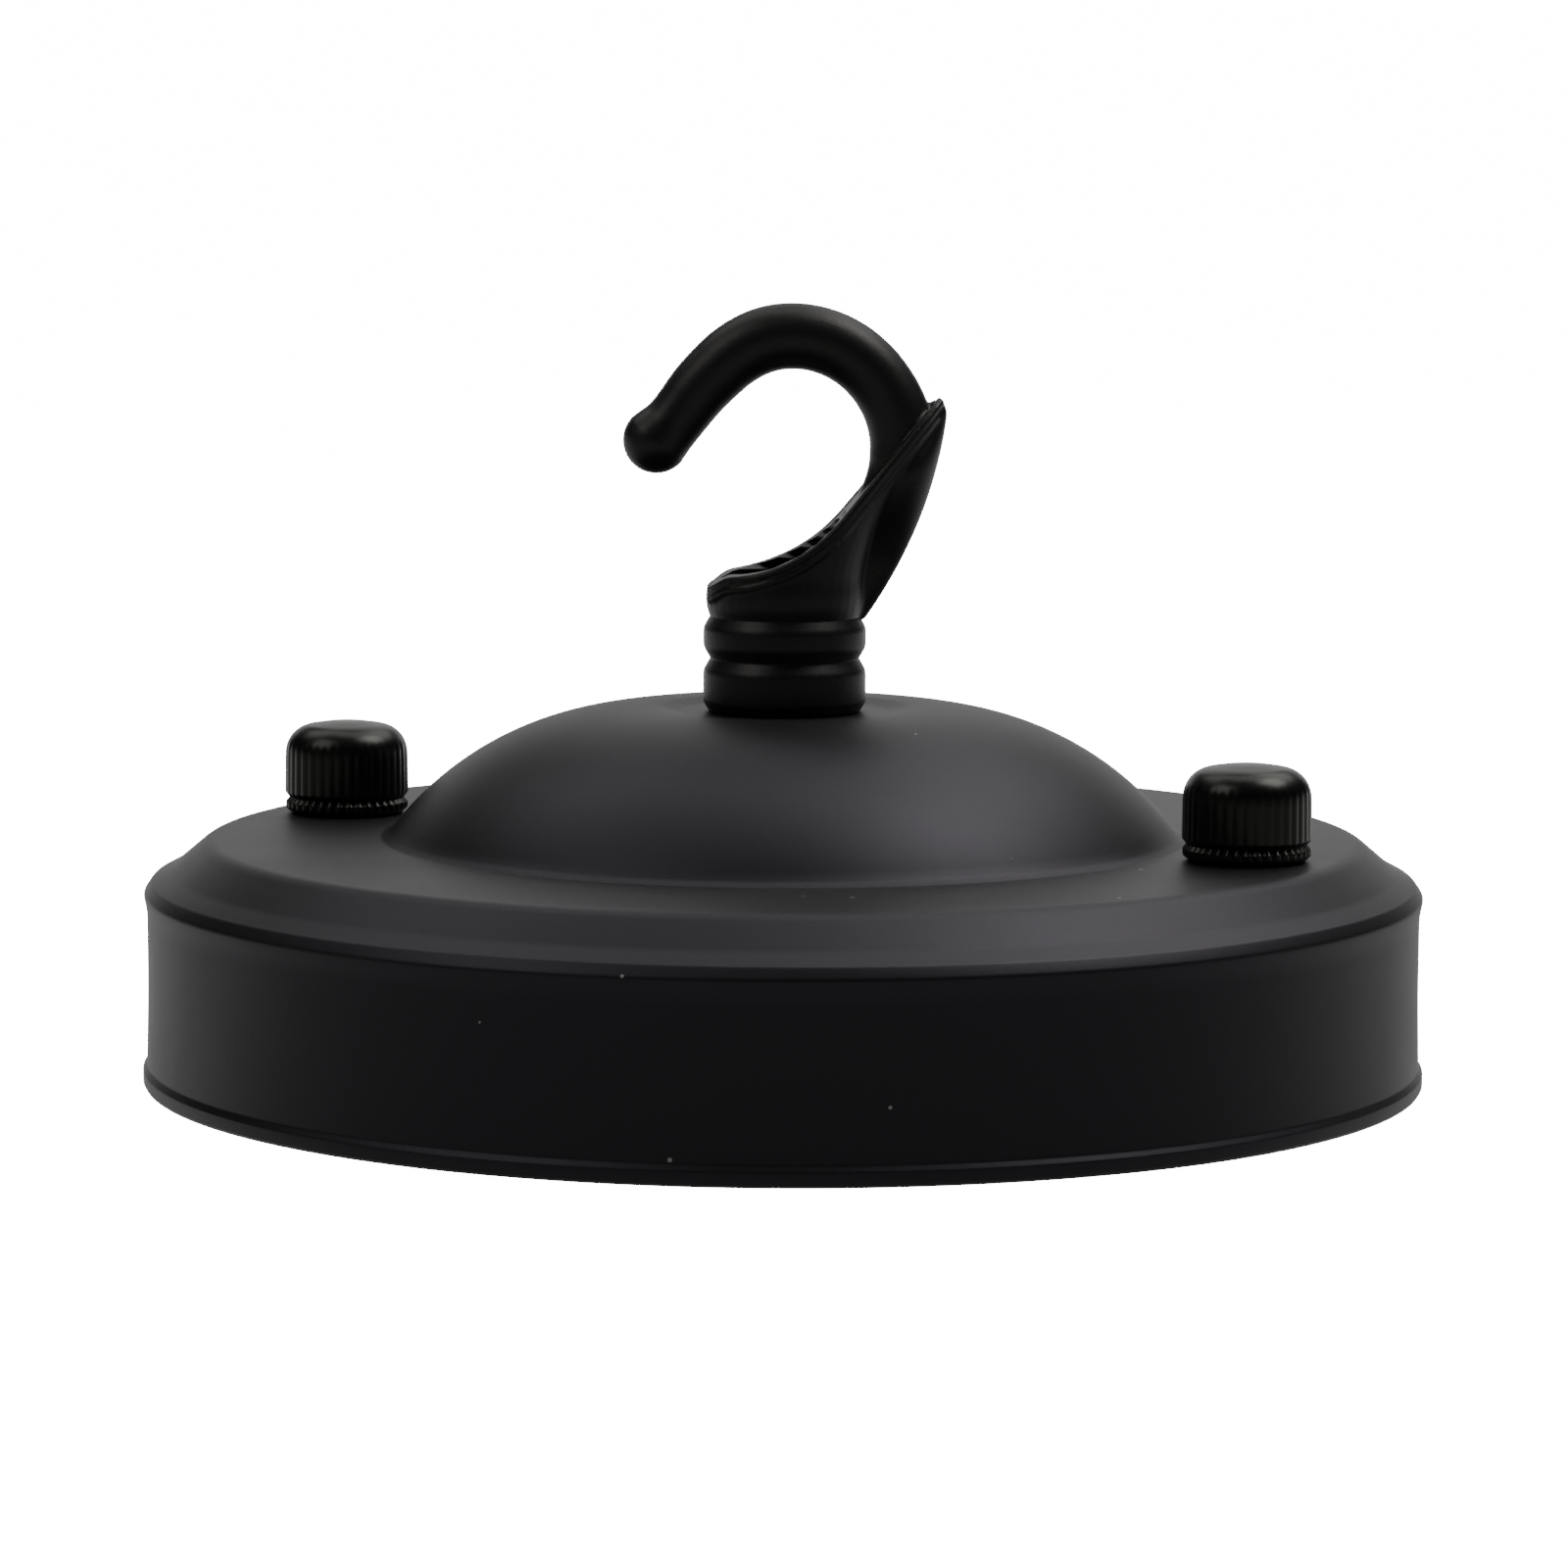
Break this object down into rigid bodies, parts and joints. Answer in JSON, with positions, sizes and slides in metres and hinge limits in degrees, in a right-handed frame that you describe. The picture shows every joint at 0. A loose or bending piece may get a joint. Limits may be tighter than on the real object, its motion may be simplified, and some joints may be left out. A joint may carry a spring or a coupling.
{
  "type": "ceiling rose with hook",
  "caption": "Round pressed ceiling rose with a cast cable-outlet hook, knurled cap nuts and a concealed ceiling strap.",
  "frame": {"origin": "centre of the cover's rim on the ceiling plane", "axes": "+Z away from the ceiling towards the hook; X through the two cap nuts"},
  "size_m": [0.108, 0.108, 0.0653],
  "materials": {
    "cover_paint": "fine matt black powder coat",
    "hook_paint": "satin black paint on a casting",
    "nut_paint": "gloss black lacquer",
    "zinc_steel": "bright zinc plate",
    "brass": "turned brass"
  },
  "bodies": {
    "strap": {"mounting_strap": "zinc_steel", "fixing_screw_left": "zinc_steel", "fixing_screw_right": "zinc_steel", "spring_washer_left": "zinc_steel", "spring_washer_right": "zinc_steel", "lock_nut_left": "zinc_steel", "lock_nut_right": "zinc_steel", "earth_screw": "brass", "earth_lock_washer": "zinc_steel", "earth_cup_washer": "brass"},
    "cover": {"cover_plate": "cover_paint"},
    "cap_nut_left": {"cap_nut_left": "nut_paint"},
    "cap_nut_right": {"cap_nut_right": "nut_paint"},
    "hook": {"hook": "hook_paint", "hollow_nipple": "zinc_steel", "nipple_washer": "zinc_steel", "nipple_lock_washer": "zinc_steel", "nipple_nut": "brass"}
  },
  "joints": [
    {"name": "cover_lift", "type": "slide", "parent": "strap", "child": "cover", "axis": [0, 0, 1], "range_m": [0, 0.0056]},
    {"name": "cap_nut_left_turn", "type": "hinge", "parent": "cover", "child": "cap_nut_left", "pos_m": [-0.0409, 0, 0.0204], "axis": [0, 0, 1], "range_deg": [0, 2880]},
    {"name": "cap_nut_right_turn", "type": "hinge", "parent": "cover", "child": "cap_nut_right", "pos_m": [0.0409, 0, 0.0204], "axis": [0, 0, 1], "range_deg": [0, 2880]},
    {"name": "hook_swivel", "type": "hinge", "parent": "cover", "child": "hook", "pos_m": [0, 0, 0.031], "axis": [0, 0, 1], "continuous": true}
  ],
  "couplings": [
    {"joint": "cap_nut_left_turn", "follows": "cover_lift", "rad_per_m": 8976},
    {"joint": "cap_nut_right_turn", "follows": "cover_lift", "rad_per_m": 8976}
  ]
}
